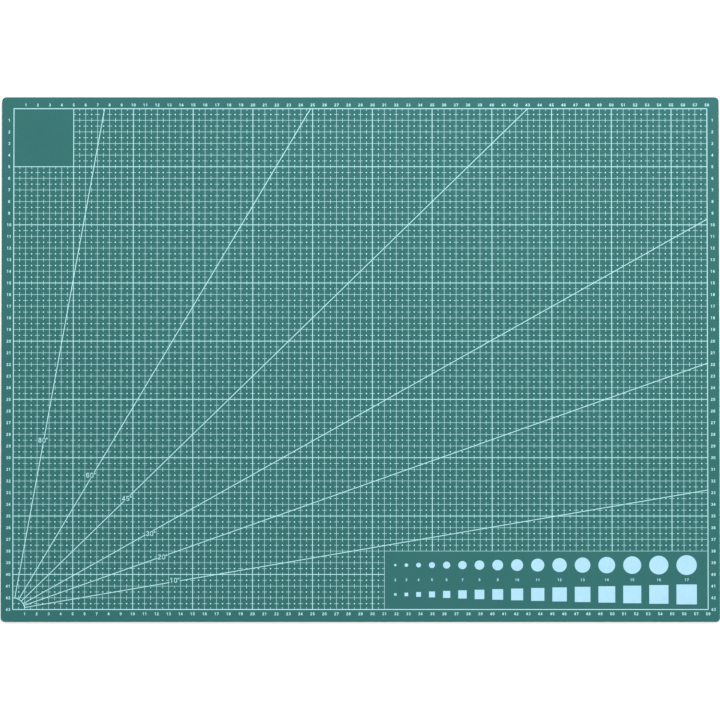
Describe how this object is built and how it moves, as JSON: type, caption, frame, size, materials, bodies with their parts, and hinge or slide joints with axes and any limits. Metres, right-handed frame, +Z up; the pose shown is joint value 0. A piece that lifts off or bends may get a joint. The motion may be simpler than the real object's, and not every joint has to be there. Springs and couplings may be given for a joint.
{
  "type": "self-healing cutting mat",
  "caption": "Thin flat rectangular cutting mat with rounded corners, printed with a centimetre grid, angle rays from one corner and a gauge of circles and squares.",
  "frame": {"origin": "centre of the underside, which rests on the table", "axes": "+X along the long side, to the right of the printed face; +Y along the short side, towards the top of the printed face; +Z up out of the printed face"},
  "size_m": [0.6, 0.45, 0.003],
  "materials": {
    "soft_pvc": "fine matte grain, healing PVC",
    "tough_pvc": "die-cut edge, satin",
    "core_pvc": "die-cut edge, rigid PVC",
    "ink": "screen-printed ink, satin"
  },
  "bodies": {
    "root": {"bottom_soft_ply": "soft_pvc", "lower_tough_ply": "tough_pvc", "core_ply": "core_pvc", "upper_tough_ply": "tough_pvc", "top_soft_ply": "soft_pvc", "ink_border": "ink", "ink_5cm_lines": "ink", "ink_1cm_lines_along_y": "ink", "ink_1cm_lines_along_x": "ink", "ink_protractor_arc": "ink", "ink_angle_rays": "ink", "ink_angle_labels": "ink", "ink_numerals_top": "ink", "ink_numerals_bottom": "ink", "ink_numerals_left": "ink", "ink_numerals_right": "ink", "ink_gauge_circles": "ink", "ink_gauge_squares": "ink", "ink_gauge_numerals": "ink"}
  },
  "joints": []
}
